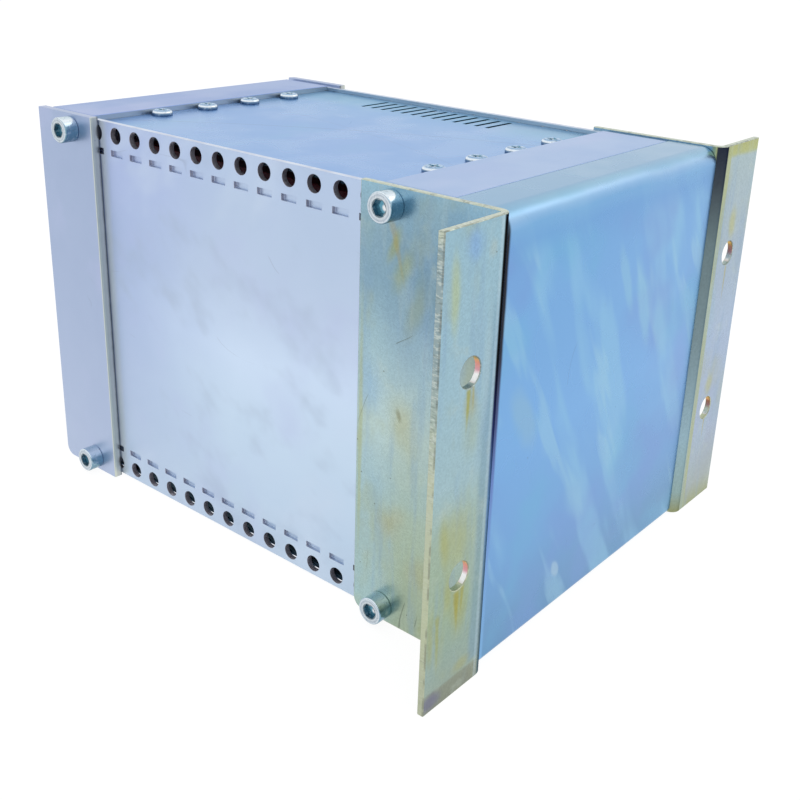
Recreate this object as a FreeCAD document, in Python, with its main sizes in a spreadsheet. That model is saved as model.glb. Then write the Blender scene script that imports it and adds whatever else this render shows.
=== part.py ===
import FreeCAD, Part
import os
import re
import Sketcher

# A small sheet metal chassis for plug-in cards, with ears for mounting it to a wall or a panel.
# +X is to the right, +Z up, and the ears and the blank cover face -Y. The origin is under the
# middle of the chassis, on the surface that it stands on. Card edges enter from the open +Y end.

# Driving dimensions, in millimetres. Each one is a cell of the spreadsheet.
SIZES = {
    # Side plates and the rows of holes along their upper and lower edges
    "chassisWidth": 115.6,
    "plateLength": 175.24,
    "plateHeight": 130,
    "plateThickness": 2,
    "gridHoles": 15,
    "gridEndInset": 17.62,
    "gridEdgeInset": 4.1,
    "slotDrop": 6,
    "slotLength": 6,
    "slotWidth": 2,
    "slotDepth": 1.2,
    # Mounting brackets
    "plateSetback": 19.14,
    "bracketProud": 1,
    "bracketThickness": 2,
    "bracketWebMargin": 10.8,
    "bracketBendRadius": 1.5,
    "bracketCornerRadius": 3.5,
    "earReach": 26.86,
    "earHoleInset": 12.66,
    "earHoleDiameter": 8.2,
    "earHoleSpacing": 57.15,
    # Strips that stiffen the open end
    "stripMargin": 11.1,
    "stripOverhang": 1.02,
    "stripThickness": 3,
    "stripCornerRadius": 3.5,
    # Blank front cover
    "frontCoverSetback": 1.9,
    "frontCoverThickness": 1.5,
    "frontCoverBendRadius": 4,
    "frontCoverFoldRadius": 0.3,
    "frontCoverGap": 0.3,
    # Extruded rails
    "railProud": 0.5,
    "railMargin": 5.84,
    "railDepth": 9,
    "ledgeMargin": 1.1,
    "lipGap": 1.74,
    "lipThickness": 2,
    "guideGrooveStart": 7.5,
    "guideGrooveWidth": 5,
    "guideGrooveDepth": 4.5,
    "tappedRise": 0.35,
    "tappedPitch": 5.08,
    "tappedEdgeMargin": 4.5,
    "tappedHoleDiameter": 2.5,
    "tappedHoleDepth": 6,
    # Top and bottom covers
    "coverThickness": 1.5,
    "coverRecess": 1.9,
    "coverGap": 0.25,
    "vents": 13,
    "ventPitch": 4.8,
    "ventLength": 15,
    "ventWidth": 1.7,
    "ventEdgeMargin": 3,
    # Cap screws through the brackets, strips and side plates into the rails
    "capScrewDiameter": 5,
    "capScrewLength": 16,
    "capHeadDiameter": 8.5,
    "capHeadHeight": 5,
    "capHeadChamfer": 0.5,
    "capSocketWidth": 4,
    "capSocketDepth": 2.6,
    # Screws that hold the covers to the ledges of the rails
    "coverScrews": 4,
    "coverScrewPitch": 20.32,
    "coverScrewDiameter": 4,
    "coverScrewLength": 6.5,
    "coverHeadDiameter": 7.2,
    "coverHeadHeight": 1.8,
    "coverHeadChamfer": 0.8,
    "crossWidth": 0.9,
    "crossLength": 4,
    "crossDepth": 1.1,
    # Card guides
    "guides": 5,
    "guidePitch": 20.32,
    "guideEndInset": 2.5,
    "guideBaseWidth": 8,
    "guideBaseThickness": 1.6,
    "guideWallWidth": 5.4,
    "guideHeight": 6,
    "guideSlotWidth": 2.2,
    "guideSlotDepth": 4,
    "guideFootHeight": 2.6,
    "guideLeadIn": 0.8,
    # Play round each screw, and between a guide's foot and its groove
    "screwPlay": 0.15,
    "footPlay": 0.2,
}

# Places and sizes that several pieces share, worked out from the sizes above.
SHARED = {
    # Along Y
    "frontPlane": "-(plateSetback + plateLength + stripOverhang) / 2",
    "plateFront": "frontPlane + plateSetback",
    "plateBack": "plateFront + plateLength",
    "plateMiddle": "(plateFront + plateBack) / 2",
    "gridReach": "plateLength / 2 - gridEndInset",
    "gridPitch": "2 * gridReach / (gridHoles - 1)",
    "railWidth": "gridEndInset + railMargin",
    "ledgeReach": "coverHeadDiameter + 2 * screwPlay + ledgeMargin",
    "lipLength": "plateSetback - frontCoverSetback - frontCoverThickness"
                 " - frontCoverBendRadius - lipGap",
    "coverReach": "plateLength / 2 - railWidth - coverGap",
    "coverScrewReach": "plateLength / 2 - railWidth - screwPlay - coverHeadDiameter / 2",
    # Along X
    "plateOutside": "chassisWidth / 2",
    "plateInside": "plateOutside - plateThickness",
    "coverScrewSpan": "(coverScrews - 1) * coverScrewPitch",
    "tappedSteps": "floor((plateInside - tappedEdgeMargin) / tappedPitch)",
    # Along Z
    "bracketHeight": "plateHeight + 2 * bracketProud",
    "midHeight": "bracketHeight / 2",
    "gridTop": "midHeight + plateHeight / 2 - gridEdgeInset",
    "gridBottom": "midHeight - plateHeight / 2 + gridEdgeInset",
    "railTop": "midHeight + plateHeight / 2 + railProud",
    "railUnderside": "railTop - railDepth",
    "coverTop": "railTop - coverRecess",
    "ledgeTop": "coverTop - coverThickness",
    # Clearance holes, the ones in the rails among them
    "capScrewHole": "capScrewDiameter + 2 * screwPlay",
    "coverScrewHole": "coverScrewDiameter + 2 * screwPlay",
}

doc = FreeCAD.newDocument("SheetMetalChassis")
sheet = doc.addObject("Spreadsheet::Sheet", "Sizes")
for row, (name, size) in enumerate(SIZES.items(), 1):
    sheet.set(f"A{row}", name)
    sheet.set(f"B{row}", str(size))
    sheet.setAlias(f"B{row}", name)
doc.recompute()


def cells(text):
    """Writes out an expression: what is shared in full, and each size as its cell."""
    def spell(word):
        if word.group() in SHARED:
            return "(" + cells(SHARED[word.group()]) + ")"
        return "Sizes." + word.group() if word.group() in SIZES else word.group()
    return re.sub(r"[a-zA-Z]\w*", spell, text)


def value(text):
    return float(sheet.evalExpression(cells(text)))


def bind(thing, **sizes):
    """Binds properties to expressions; a double underscore stands for a dot."""
    for prop, text in sizes.items():
        thing.setExpression(prop.replace("__", "."), cells(text))


# Sketches

def sketchOn(body, name, plane, offset="0"):
    """Starts a sketch on an origin plane of the body, moved along the plane's normal."""
    sketch = body.newObject("Sketcher::SketchObject", name)
    origin = next(item for item in body.Origin.OriginFeatures if item.Role == plane)
    sketch.AttachmentSupport = [(origin, "")]
    sketch.MapMode = "FlatFace"
    bind(sketch, AttachmentOffset__Base__z=offset)
    return sketch


def fix(sketch, edge, point, across, up):
    """Dimensions one point of an edge from the sketch's origin."""
    for kind, text in (("DistanceX", across), ("DistanceY", up)):
        rule = Sketcher.Constraint(kind, -1, 1, edge, point, value(text))
        number = sketch.addConstraint(rule)
        sketch.setExpression(f"Constraints[{number}]", cells(text))


def outline(sketch, corners):
    """Draws a closed outline of straight edges through the corners."""
    points = [FreeCAD.Vector(value(across), value(up), 0) for across, up in corners]
    edges = [sketch.addGeometry(Part.LineSegment(start, end), False)
             for start, end in zip(points, points[1:] + points[:1])]
    for edge, following, corner in zip(edges, edges[1:] + edges[:1], corners):
        sketch.addConstraint(Sketcher.Constraint("Coincident", edge, 2, following, 1))
        fix(sketch, edge, 1, *corner)


def rectangle(sketch, left, right, bottom, top):
    outline(sketch, [(left, bottom), (right, bottom), (right, top), (left, top)])


def circle(sketch, across, up, diameter):
    centre = FreeCAD.Vector(value(across), value(up), 0)
    edge = sketch.addGeometry(Part.Circle(centre, FreeCAD.Vector(0, 0, 1), value(diameter) / 2), False)
    fix(sketch, edge, 3, across, up)
    number = sketch.addConstraint(Sketcher.Constraint("Diameter", edge, value(diameter)))
    sketch.setExpression(f"Constraints[{number}]", cells(diameter))


# Features

def newBody(label):
    body = doc.addObject("PartDesign::Body", label)
    body.Label = label
    return body


def pad(body, sketch, length, backwards=False):
    made = body.newObject("PartDesign::Pad", sketch.Name + "Pad")
    made.Profile = sketch
    made.Reversed = backwards
    bind(made, Length=length)
    doc.recompute()
    return made


def pocket(body, sketch, depth, backwards=False):
    """Cuts against the sketch's normal, or along it when backwards."""
    made = body.newObject("PartDesign::Pocket", sketch.Name + "Pocket")
    made.Profile = sketch
    made.Reversed = backwards
    bind(made, Length=depth)
    return made


def repeat(body, original, axis, length, count):
    """Repeats a feature in a straight line along an axis of the body."""
    made = body.newObject("PartDesign::LinearPattern", original.Name + "Row")
    made.Originals = [original]
    line = next(item for item in body.Origin.OriginFeatures if item.Role == axis)
    made.Direction = (line, [""])
    bind(made, Length=length, Occurrences=count)
    body.Tip = made


def edgesAt(feature, **spot):
    """Names the edges whose ends all lie at the given coordinates."""
    found = []
    for number, edge in enumerate(feature.Shape.Edges, 1):
        misses = [abs(getattr(end, axis) - value(text))
                  for end in edge.Vertexes for axis, text in spot.items()]
        if max(misses) < 0.001:
            found.append(f"Edge{number}")
    return found


def rounded(body, feature, name, edges, radius):
    made = body.newObject("PartDesign::Fillet", name)
    made.Base = (feature, edges)
    bind(made, Radius=radius)
    doc.recompute()
    return made


def cutBack(body, feature, name, edges, size):
    """Chamfers edges by the same size on both sides."""
    made = body.newObject("PartDesign::Chamfer", name)
    made.Base = (feature, edges)
    bind(made, Size=size)


def mirrored(source, label, axis, place="0"):
    """The same piece on the other side of a plane square to the axis."""
    made = doc.addObject("Part::Mirroring", label)
    made.Label = label
    made.Source = source
    made.Normal = FreeCAD.Vector(axis == "x", axis == "y", axis == "z")
    bind(made, **{"Base__" + axis: place})
    return made


# Pieces

def sidePlate():
    """The left plate: a row of holes along each edge, with a half-sheared slot beside each one."""
    body = newBody("side_plate_left")
    blank = sketchOn(body, "PlateBlank", "YZ_Plane", "-plateOutside")
    rectangle(blank, "plateFront", "plateBack",
              "midHeight - plateHeight / 2", "midHeight + plateHeight / 2")
    pad(body, blank, "plateThickness")

    holes = sketchOn(body, "PlateHoles", "YZ_Plane", "-plateInside")
    circle(holes, "plateMiddle - gridReach", "gridTop", "capScrewHole")
    circle(holes, "plateMiddle - gridReach", "gridBottom", "capScrewHole")
    repeat(body, pocket(body, holes, "plateThickness"), "Y_Axis", "2 * gridReach", "gridHoles")

    # The slots leave out the two end holes, which take the cap screws.
    firstSlot = "plateMiddle - gridReach + gridPitch"
    recess = sketchOn(body, "SlotRecess", "YZ_Plane", "-plateOutside + slotDepth")
    pip = sketchOn(body, "SlotPip", "YZ_Plane", "-plateInside")
    for sketch in (recess, pip):
        for level in ("gridTop - slotDrop", "gridBottom + slotDrop"):
            rectangle(sketch, f"{firstSlot} - slotLength / 2", f"{firstSlot} + slotLength / 2",
                      f"{level} - slotWidth / 2", f"{level} + slotWidth / 2")
    reach = "2 * (gridReach - gridPitch)"
    repeat(body, pocket(body, recess, "slotDepth"), "Y_Axis", reach, "gridHoles - 2")
    repeat(body, pad(body, pip, "slotDepth"), "Y_Axis", reach, "gridHoles - 2")
    return body


def mountingBracket():
    """The left bracket: an angle whose web lies on the side plate and whose ear points outwards."""
    body = newBody("mounting_bracket_left")
    screw = "plateMiddle - gridReach"
    webFace, webOutside = "-plateOutside", "-plateOutside - bracketThickness"
    webEnd = f"{screw} + bracketWebMargin"
    earEnd = "-plateOutside - earReach"
    earBack = "frontPlane + bracketThickness"
    angle = sketchOn(body, "BracketAngle", "XY_Plane")
    outline(angle, [(webFace, "frontPlane"), (webFace, webEnd), (webOutside, webEnd),
                    (webOutside, earBack), (earEnd, earBack), (earEnd, "frontPlane")])
    angled = pad(body, angle, "bracketHeight")
    outside = rounded(body, angled, "BracketBendOutside", edgesAt(angled, X=webFace, Y="frontPlane"),
                      "bracketBendRadius + bracketThickness")
    bent = rounded(body, outside, "BracketBendInside", edgesAt(outside, X=webOutside, Y=earBack),
                   "bracketBendRadius")
    rounded(body, bent, "BracketCorner", edgesAt(bent, Y=webEnd, Z="0"), "bracketCornerRadius")

    earHoles = sketchOn(body, "EarHoles", "XZ_Plane", "-frontPlane")
    for level in ("midHeight + earHoleSpacing / 2", "midHeight - earHoleSpacing / 2"):
        circle(earHoles, f"{earEnd} + earHoleInset", level, "earHoleDiameter")
    pocket(body, earHoles, "bracketThickness")

    webHoles = sketchOn(body, "WebHoles", "YZ_Plane", webFace)
    for level in ("gridTop", "gridBottom"):
        circle(webHoles, screw, level, "capScrewHole")
    pocket(body, webHoles, "bracketThickness")
    return body


def rearStrip():
    """The left strip: a flat bar screwed to the side plate at the open end."""
    body = newBody("rear_strip_left")
    screw = "plateMiddle + gridReach"
    start, end = f"{screw} - stripMargin", "plateBack + stripOverhang"
    bar = sketchOn(body, "StripBar", "YZ_Plane", "-plateOutside - stripThickness")
    rectangle(bar, start, end, "0", "bracketHeight")
    padded = pad(body, bar, "stripThickness")
    rounded(body, padded, "StripCorner", edgesAt(padded, Y=end, Z="0"), "stripCornerRadius")
    holes = sketchOn(body, "StripHoles", "YZ_Plane", "-plateOutside")
    for level in ("gridTop", "gridBottom"):
        circle(holes, screw, level, "capScrewHole")
    pocket(body, holes, "stripThickness")
    return body


def frontCover():
    """The blank cover: a sheet folded back at its top and bottom over the lips of the rails."""
    body = newBody("front_cover")
    front = "frontPlane + frontCoverSetback"
    back = "plateFront - frontCoverGap"
    inner = f"{front} + frontCoverThickness"
    top, bottom = "railTop", "bracketHeight - railTop"
    innerTop, innerBottom = f"{top} - frontCoverThickness", f"{bottom} + frontCoverThickness"
    section = sketchOn(body, "FrontCoverSection", "YZ_Plane", "-plateOutside + frontCoverGap")
    outline(section, [(front, bottom), (back, bottom), (back, innerBottom), (inner, innerBottom),
                      (inner, innerTop), (back, innerTop), (back, top), (front, top)])
    folded = pad(body, section, "2 * (plateOutside - frontCoverGap)")
    # The upper bend is wide, and the lower fold is tight.
    for fold, radius, level, innerLevel in (("Bend", "frontCoverBendRadius", top, innerTop),
                                            ("Fold", "frontCoverFoldRadius", bottom, innerBottom)):
        folded = rounded(body, folded, f"FrontCoverOuter{fold}",
                         edgesAt(folded, Y=front, Z=level), f"{radius} + frontCoverThickness")
        folded = rounded(body, folded, f"FrontCoverInner{fold}",
                         edgesAt(folded, Y=inner, Z=innerLevel), radius)
    return body


def rail(label, end):
    """An upper rail, extruded from plate to plate: a band that closes the top, a ledge for the
    cover, a core for the cap screws and a groove for the feet of the card guides. The front rail
    (end -1) has a lip under the front cover, and the rear one (end 1) a row of tapped holes."""
    body = newBody(label)
    grooveEnd = "guideGrooveStart + guideGrooveWidth"
    lipTop = "railTop - frontCoverThickness"
    corners = [("0", "railTop"), ("railWidth", "railTop"), ("railWidth", "ledgeTop"),
               ("railWidth + ledgeReach", "ledgeTop"), ("railWidth + ledgeReach", "railUnderside"),
               (grooveEnd, "railUnderside"), (grooveEnd, "railUnderside + guideGrooveDepth"),
               ("guideGrooveStart", "railUnderside + guideGrooveDepth"),
               ("guideGrooveStart", "railUnderside"), ("0", "railUnderside")]
    if end < 0:
        corners += [("0", f"{lipTop} - lipThickness"), ("-lipLength", f"{lipTop} - lipThickness"),
                    ("-lipLength", lipTop), ("0", lipTop)]
    section = sketchOn(body, label + "_section", "YZ_Plane", "-plateInside")
    outline(section, [(f"plateMiddle + {end} * (plateLength / 2 - ({inward}))", level)
                      for inward, level in corners])
    circle(section, f"plateMiddle + {end} * gridReach", "gridTop", "capScrewHole")
    pad(body, section, "2 * plateInside")

    coverHoles = sketchOn(body, label + "_cover_holes", "XY_Plane", "ledgeTop")
    circle(coverHoles, "-coverScrewSpan / 2", f"plateMiddle + {end} * coverScrewReach",
           "coverScrewHole")
    repeat(body, pocket(body, coverHoles, "railDepth"), "X_Axis", "coverScrewSpan", "coverScrews")

    if end > 0:
        tapped = sketchOn(body, label + "_tapped_holes", "XZ_Plane", "-plateBack")
        circle(tapped, "-tappedSteps * tappedPitch", "gridTop + tappedRise", "tappedHoleDiameter")
        repeat(body, pocket(body, tapped, "tappedHoleDepth", True), "X_Axis",
               "2 * tappedSteps * tappedPitch", "2 * tappedSteps + 1")
    return body


def topCover():
    """The top cover: a flat sheet on the ledges of the rails, with a row of vent slits."""
    body = newBody("top_cover")
    flat = sketchOn(body, "CoverFlat", "XY_Plane", "ledgeTop")
    rectangle(flat, "-plateInside + coverGap", "plateInside - coverGap",
              "plateMiddle - coverReach", "plateMiddle + coverReach")
    pad(body, flat, "coverThickness")

    screwHoles = sketchOn(body, "CoverScrewHoles", "XY_Plane", "coverTop")
    for end in (-1, 1):
        circle(screwHoles, "-coverScrewSpan / 2", f"plateMiddle + {end} * coverScrewReach",
               "coverScrewHole")
    repeat(body, pocket(body, screwHoles, "coverThickness"), "X_Axis", "coverScrewSpan",
           "coverScrews")

    vent = sketchOn(body, "CoverVent", "XY_Plane", "coverTop")
    ventEnd = "plateInside - ventEdgeMargin"
    ventSpan = "(vents - 1) * ventPitch"
    firstVent = f"plateMiddle - {ventSpan} / 2"
    rectangle(vent, f"{ventEnd} - ventLength", ventEnd,
              f"{firstVent} - ventWidth / 2", f"{firstVent} + ventWidth / 2")
    repeat(body, pocket(body, vent, "coverThickness"), "Y_Axis", ventSpan, "vents")
    return body


def turnedScrew(label, shank, diameter, headDiameter, headHeight, headChamfer):
    """A screw along Z, its head above the XY plane and its shank below."""
    body = newBody(label)
    half = sketchOn(body, label + "_half", "XZ_Plane")
    outline(half, [("0", f"-{shank}"), (f"{diameter} / 2", f"-{shank}"), (f"{diameter} / 2", "0"),
                   (f"{headDiameter} / 2", "0"), (f"{headDiameter} / 2", headHeight),
                   ("0", headHeight)])
    turned = body.newObject("PartDesign::Revolution", label + "_turned")
    turned.Profile = half
    turned.ReferenceAxis = (half, ["V_Axis"])
    turned.Angle = 360
    doc.recompute()
    cutBack(body, turned, label + "_rim", edgesAt(turned, Z=headHeight), headChamfer)
    return body


def capScrew(label, x, y, z, turn):
    """A cap screw with a hexagon socket, its head turned to the left (-90) or the right (90)."""
    body = turnedScrew(label, "capScrewLength", "capScrewDiameter", "capHeadDiameter",
                       "capHeadHeight", "capHeadChamfer")
    socket = sketchOn(body, label + "_socket", "XY_Plane", "capHeadHeight")
    outline(socket, [(f"capSocketWidth / sqrt(3) * cos({angle})",
                      f"capSocketWidth / sqrt(3) * sin({angle})") for angle in range(0, 360, 60)])
    pocket(body, socket, "capSocketDepth")
    body.Placement.Rotation = FreeCAD.Rotation(FreeCAD.Vector(0, 1, 0), turn)
    bind(body, Placement__Base__x=x, Placement__Base__y=y, Placement__Base__z=z)
    return body


def coverScrew(label, x, y, z, turn):
    """A low cross-recessed screw, its head up (0) or down (180)."""
    body = turnedScrew(label, "coverScrewLength", "coverScrewDiameter", "coverHeadDiameter",
                       "coverHeadHeight", "coverHeadChamfer")
    arm = sketchOn(body, label + "_cross", "XY_Plane", "coverHeadHeight")
    rectangle(arm, "-crossWidth / 2", "crossWidth / 2", "0", "crossLength / 2")
    made = pocket(body, arm, "crossDepth")
    cross = body.newObject("PartDesign::PolarPattern", label + "_arms")
    cross.Originals = [made]
    cross.Axis = (arm, ["N_Axis"])
    cross.Angle = 360
    cross.Occurrences = 4
    body.Tip = cross
    body.Placement.Rotation = FreeCAD.Rotation(FreeCAD.Vector(1, 0, 0), turn)
    bind(body, Placement__Base__x=x, Placement__Base__y=y, Placement__Base__z=z)
    return body


def cardGuide(label, x):
    """An upper card guide: a grooved bar under the rails, with a foot in the groove of each."""
    body = newBody(label)
    start, end = "plateFront + guideEndInset", "plateBack - guideEndInset"
    top, bottom = "railUnderside", "railUnderside - guideHeight"
    section = sketchOn(body, label + "_section", "XZ_Plane", f"-({start})")
    half = [("guideBaseWidth / 2", top), ("guideBaseWidth / 2", f"{top} - guideBaseThickness"),
            ("guideWallWidth / 2", f"{top} - guideBaseThickness"), ("guideWallWidth / 2", bottom),
            ("guideSlotWidth / 2", bottom), ("guideSlotWidth / 2", f"{bottom} + guideSlotDepth")]
    outline(section, half + [("-" + across, up) for across, up in reversed(half)])
    barred = pad(body, section, f"({end}) - ({start})", True)
    mouth = (edgesAt(barred, X="guideSlotWidth / 2", Y=end)
             + edgesAt(barred, X="-guideSlotWidth / 2", Y=end))
    cutBack(body, barred, label + "_lead_in", mouth, "guideLeadIn")

    feet = sketchOn(body, label + "_feet", "XY_Plane", top)
    for end in (-1, 1):
        middle = f"plateMiddle + {end} * (plateLength / 2 - guideGrooveStart - guideGrooveWidth / 2)"
        rectangle(feet, "-guideWallWidth / 2", "guideWallWidth / 2",
                  f"{middle} - guideGrooveWidth / 2 + footPlay",
                  f"{middle} + guideGrooveWidth / 2 - footPlay")
    pad(body, feet, "guideFootHeight")
    bind(body, Placement__Base__x=x)
    return body


# Assembly

pieces = []
for left in (sidePlate(), mountingBracket(), rearStrip()):
    pieces += [left, mirrored(left, left.Label.replace("left", "right"), "x")]

for upper in (rail("rail_front_top", -1), rail("rail_rear_top", 1), topCover()):
    lower = upper.Label.replace("top", "bottom")
    pieces += [upper, mirrored(upper, lower, "z", "midHeight")]

pieces.append(frontCover())

for side, sign in (("left", -1), ("right", 1)):
    for end, reach, under in (("front", -1, "bracketThickness"), ("rear", 1, "stripThickness")):
        for level in ("Top", "Bottom"):
            pieces.append(capScrew(f"cap_screw_{side}_{end}_{level.lower()}",
                                   f"{sign} * (plateOutside + {under})",
                                   f"plateMiddle + {reach} * gridReach", "grid" + level,
                                   sign * 90))

for end, reach in (("front", -1), ("rear", 1)):
    for number in range(SIZES["coverScrews"]):
        x = f"{number} * coverScrewPitch - coverScrewSpan / 2"
        y = f"plateMiddle + {reach} * coverScrewReach"
        pieces.append(coverScrew(f"cover_screw_top_{end}_{number + 1}", x, y, "coverTop", 0))
        pieces.append(coverScrew(f"cover_screw_bottom_{end}_{number + 1}", x, y,
                                 "bracketHeight - coverTop", 180))

for number in range(SIZES["guides"]):
    upper = cardGuide(f"card_guide_top_{number + 1}", f"({number} - (guides - 1) / 2) * guidePitch")
    pieces += [upper, mirrored(upper, f"card_guide_bottom_{number + 1}", "z", "midHeight")]

doc.recompute()
for item in doc.Objects:
    if {"Invalid", "Error"} & set(item.State):
        raise RuntimeError(f"{item.Label} did not compute: {item.State}")
for piece in pieces:
    if piece.Shape.isNull() or not piece.Shape.isValid() or len(piece.Shape.Solids) != 1:
        raise RuntimeError(f"{piece.Label} is not one valid solid")

os.makedirs("parts", exist_ok=True)
for piece in pieces:
    piece.Shape.exportStep(f"parts/{piece.Label}.step")
print(len(pieces), "pieces written")
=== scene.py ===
import math

import bmesh
import bpy
from mathutils import Matrix, Vector


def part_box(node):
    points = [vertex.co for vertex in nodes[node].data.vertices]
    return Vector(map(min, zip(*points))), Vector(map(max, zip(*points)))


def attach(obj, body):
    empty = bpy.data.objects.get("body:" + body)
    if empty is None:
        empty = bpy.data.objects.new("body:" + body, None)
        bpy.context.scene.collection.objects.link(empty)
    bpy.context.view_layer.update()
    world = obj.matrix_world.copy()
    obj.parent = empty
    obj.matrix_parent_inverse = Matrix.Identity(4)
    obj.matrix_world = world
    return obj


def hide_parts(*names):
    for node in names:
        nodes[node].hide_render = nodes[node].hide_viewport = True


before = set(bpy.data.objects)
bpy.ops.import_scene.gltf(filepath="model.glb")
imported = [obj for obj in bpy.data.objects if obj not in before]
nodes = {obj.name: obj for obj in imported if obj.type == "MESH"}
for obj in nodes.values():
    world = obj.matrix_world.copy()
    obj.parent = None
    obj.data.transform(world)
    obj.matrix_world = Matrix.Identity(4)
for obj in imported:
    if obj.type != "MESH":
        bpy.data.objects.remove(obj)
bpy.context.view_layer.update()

scene = bpy.context.scene
print("frame loaded with", len(nodes), "parts")


def paint(red, green, blue):
    channels = [value / 255 for value in (red, green, blue)]
    return [c / 12.92 if c < 0.04045 else ((c + 0.055) / 1.055) ** 2.4 for c in channels] + [1.0]


# the camera stands in front of the left corner and looks down on the box
cameraSizes = {
    "place": (-0.26799, -0.23768, 0.19569), "turn": -50.838, "tilt": 20.895, "roll": 2.035,
    "lens": 48.84, "shift": (-0.0108, -0.0824), "near": 0.01, "far": 60}


def setCamera():
    data = bpy.data.cameras.new("camera")
    data.lens = cameraSizes["lens"]
    data.sensor_width = 36
    data.shift_x, data.shift_y = cameraSizes["shift"]
    data.clip_start = cameraSizes["near"]
    data.clip_end = cameraSizes["far"]
    turn, tilt, roll = [math.radians(cameraSizes[name]) for name in ("turn", "tilt", "roll")]
    camera = bpy.data.objects.new("camera", data)
    camera.matrix_world = (Matrix.Translation(cameraSizes["place"]) @ Matrix.Rotation(turn, 4, "Z")
                           @ Matrix.Rotation(math.pi / 2 - tilt, 4, "X") @ Matrix.Rotation(roll, 4, "Z"))
    scene.collection.objects.link(camera)
    scene.camera = camera


setCamera()
print("camera set")


# small helpers for shader trees
def connect(tree, made, sockets):
    for name, value in sockets.items():
        if isinstance(value, bpy.types.NodeSocket):
            tree.links.new(value, made.inputs[name])
        else:
            made.inputs[name].default_value = value
    return made


def add(tree, kind, sockets=None, **options):
    made = tree.nodes.new("ShaderNode" + kind)
    for name, value in options.items():
        setattr(made, name, value)
    return connect(tree, made, sockets or {})


def calc(tree, operation, first, second=0.0):
    return add(tree, "Math", {0: first, 1: second}, operation=operation).outputs[0]


def plus(tree, first, second):
    return calc(tree, "ADD", first, second)


def minus(tree, first, second):
    return calc(tree, "SUBTRACT", first, second)


def times(tree, first, second):
    return calc(tree, "MULTIPLY", first, second)


def gapTo(tree, value, middle):
    return calc(tree, "ABSOLUTE", minus(tree, value, middle))


def vector(tree, operation, first, second):
    return add(tree, "VectorMath", {0: first, 1: second}, operation=operation).outputs[0]


def turnBy(tree, value, angles):
    return add(tree, "VectorRotate", {"Vector": value, "Rotation": angles}, rotation_type="EULER_XYZ").outputs[0]


def lengthOf(tree, value):
    return add(tree, "VectorMath", {0: value}, operation="LENGTH").outputs["Value"]


def noise(tree, place, scale, detail, output=0):
    return add(tree, "TexNoise", {"Vector": place, "Scale": scale, "Detail": detail}).outputs[output]


def wobble(tree, place, scale, detail, amount):
    centred = vector(tree, "SUBTRACT", noise(tree, place, scale, detail, "Color"), (0.5, 0.5, 0.5))
    return add(tree, "VectorMath", {0: centred, "Scale": amount}, operation="SCALE").outputs[0]


def mixColours(tree, factor, first, second):
    return add(tree, "Mix", {0: factor, 6: first, 7: second}, data_type="RGBA").outputs[2]


def fade(tree, value, low, high, start=0.0, end=1.0):
    return add(tree, "MapRange", {0: value, 1: low, 2: high, 3: start, 4: end},
               interpolation_type="SMOOTHSTEP").outputs[0]


def newGroup(name, takes, gives=("Mask",)):
    tree = bpy.data.node_groups.new(name, "ShaderNodeTree")
    tree.interface.new_socket("Place", in_out="INPUT", socket_type="NodeSocketVector")
    for label, value in takes.items():
        kind = "Vector" if isinstance(value, tuple) else "Float"
        socket = tree.interface.new_socket(label, in_out="INPUT", socket_type="NodeSocket" + kind)
        socket.default_value = value
    for label in gives:
        tree.interface.new_socket(label, in_out="OUTPUT", socket_type="NodeSocketFloat")
    return tree, tree.nodes.new("NodeGroupInput").outputs, tree.nodes.new("NodeGroupOutput").inputs


def useGroup(tree, group, place, sockets, output="Mask"):
    made = tree.nodes.new("ShaderNodeGroup")
    made.node_tree = group
    return connect(tree, made, {"Place": place} | sockets).outputs[output]


# soft patches of noise, drawn out along one direction
def makeClouds():
    tree, given, result = newGroup("clouds", {
        "Size": 0.05, "Stretch": (1, 1, 1), "Turn": (0, 0, 0), "Shift": (0, 0, 0), "Warp": 0.0, "Detail": 3.0,
        "Low": 0.4, "High": 0.6}, ("Mask", "Raw"))
    moved = vector(tree, "ADD", given["Place"], given["Shift"])
    bent = vector(tree, "ADD", moved, wobble(tree, moved, 14.0, 2.0, given["Warp"]))
    drawn = vector(tree, "MULTIPLY", turnBy(tree, bent, given["Turn"]), given["Stretch"])
    raw = add(tree, "TexNoise", {"Vector": drawn, "Scale": calc(tree, "DIVIDE", 1.0, given["Size"]),
                                 "Detail": given["Detail"], "Roughness": 0.55}).outputs[0]
    tree.links.new(fade(tree, raw, given["Low"], given["High"]), result["Mask"])
    tree.links.new(raw, result["Raw"])
    return tree


# thin lines where a noise crosses its middle, kept only in some places
def makeScratches():
    tree, given, result = newGroup("scratches", {
        "Size": 0.03, "Stretch": (1, 1, 1), "Shift": (0, 0, 0), "Width": 0.004, "Amount": 0.5})
    moved = vector(tree, "ADD", given["Place"], given["Shift"])
    drawn = vector(tree, "MULTIPLY", moved, given["Stretch"])
    scale = calc(tree, "DIVIDE", 1.0, given["Size"])
    thin = fade(tree, gapTo(tree, noise(tree, drawn, scale, 0.5), 0.5), 0.0, given["Width"], 1.0, 0.0)
    kept = fade(tree, noise(tree, moved, scale, 1.0), given["Amount"], plus(tree, given["Amount"], 0.05))
    tree.links.new(times(tree, thin, kept), result["Mask"])
    return tree


def makePits():
    tree, given, result = newGroup("pits", {"Spacing": 0.004, "Radius": 0.1, "Share": 0.3})
    cells = add(tree, "TexVoronoi", {"Vector": given["Place"], "Scale": calc(tree, "DIVIDE", 1.0, given["Spacing"])})
    dot = fade(tree, cells.outputs["Distance"], times(tree, given["Radius"], 0.5), given["Radius"], 1.0, 0.0)
    chance = add(tree, "SeparateColor", {0: cells.outputs["Color"]}).outputs[0]
    tree.links.new(times(tree, dot, calc(tree, "LESS_THAN", chance, given["Share"])), result["Mask"])
    return tree


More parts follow.
